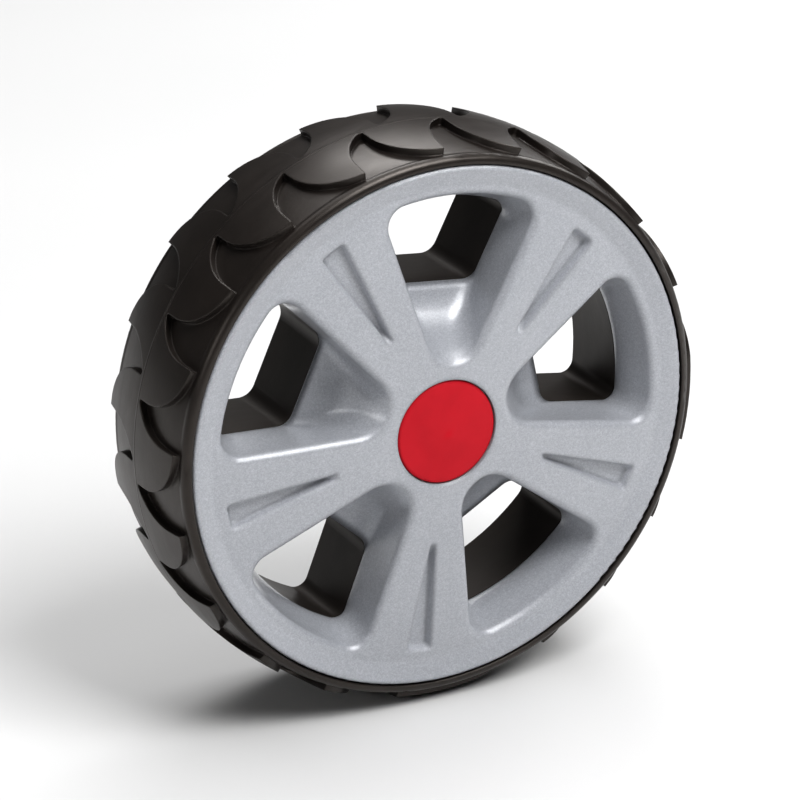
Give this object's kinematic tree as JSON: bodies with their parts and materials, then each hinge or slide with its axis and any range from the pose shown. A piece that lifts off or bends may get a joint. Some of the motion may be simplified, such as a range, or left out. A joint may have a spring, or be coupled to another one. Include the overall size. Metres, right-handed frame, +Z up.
{
  "type": "garden machine wheel",
  "caption": "Spare wheel for a garden machine: chunky treaded tyre on a moulded rim with a roller bearing, grey spoked cover with open windows and a red centre cap.",
  "frame": {"origin": "on the axle line at the middle of the tyre's width", "axes": "+Y along the axle towards the rear of the wheel, front face towards -Y, +Z up"},
  "size_m": [0.2, 0.0577, 0.2],
  "materials": {
    "tyre_black": "satin moulded",
    "rim_black": "satin moulded",
    "cover_grey": "satin with fine metallic speckle",
    "cap_red": "semi-gloss",
    "bearing_steel": "ground",
    "cage_plastic": "natural nylon"
  },
  "bodies": {
    "axle_side": {"axle_sleeve": "bearing_steel"},
    "wheel": {"tyre": "tyre_black", "wheel_rim": "rim_black", "wheel_cover": "cover_grey", "centre_cap": "cap_red", "hub_liner": "bearing_steel", "front_retainer": "rim_black", "rear_retainer": "rim_black"},
    "roller_set": {"rollers": "bearing_steel", "roller_cage": "cage_plastic"}
  },
  "joints": [
    {"name": "wheel_spin", "type": "hinge", "parent": "axle_side", "child": "wheel", "pos_m": [0, 0, 0], "axis": [0, 1, 0], "continuous": true},
    {"name": "roller_set_spin", "type": "hinge", "parent": "axle_side", "child": "roller_set", "pos_m": [0, 0, 0], "axis": [0, 1, 0], "continuous": true}
  ],
  "couplings": [
    {"joint": "roller_set_spin", "follows": "wheel_spin", "ratio": 0.6}
  ]
}
